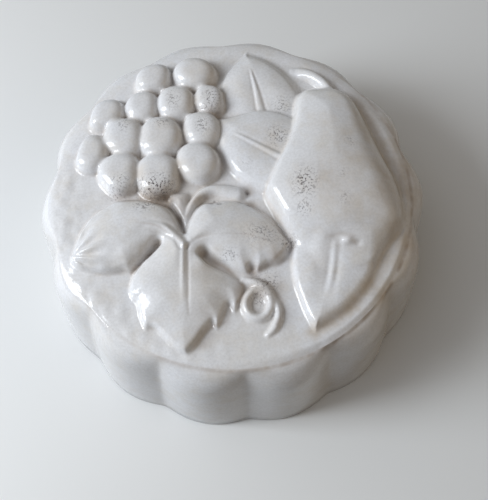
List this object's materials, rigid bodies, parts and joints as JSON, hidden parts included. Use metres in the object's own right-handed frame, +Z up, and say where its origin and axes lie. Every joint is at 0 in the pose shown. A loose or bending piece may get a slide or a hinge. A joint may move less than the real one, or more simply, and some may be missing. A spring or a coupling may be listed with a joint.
{
  "type": "pudding mould",
  "caption": "Old white glazed earthenware pudding mould with rounded flutes, standing mouth down, with a pear, a bunch of grapes and vine leaves in relief on its crown.",
  "frame": {"origin": "centre of the foot rim's plane, which is the mould's open mouth", "axes": "+Z up from the mouth to the crown, -Y towards the viewer of the picture, +X to their right"},
  "size_m": [0.1902, 0.189, 0.0789],
  "materials": {
    "white_glaze": "glossy off-white lead glaze over earthenware",
    "shaded_glaze": "glossy glaze, pooled and a little browner"
  },
  "bodies": {
    "root": {"mould_body": "white_glaze", "pear": "white_glaze", "pear_stem": "white_glaze", "pear_calyx": "shaded_glaze", "upper_leaf": "white_glaze", "side_leaf": "white_glaze", "lower_leaf": "white_glaze", "vine_leaf": "white_glaze", "vine_stem": "white_glaze", "tendril": "white_glaze", "grape_01": "white_glaze", "grape_02": "white_glaze", "grape_03": "white_glaze", "grape_04": "white_glaze", "grape_05": "white_glaze", "grape_06": "white_glaze", "grape_07": "white_glaze", "grape_08": "white_glaze", "grape_09": "white_glaze", "grape_10": "white_glaze", "grape_11": "white_glaze", "grape_12": "white_glaze", "grape_13": "white_glaze"}
  },
  "joints": []
}
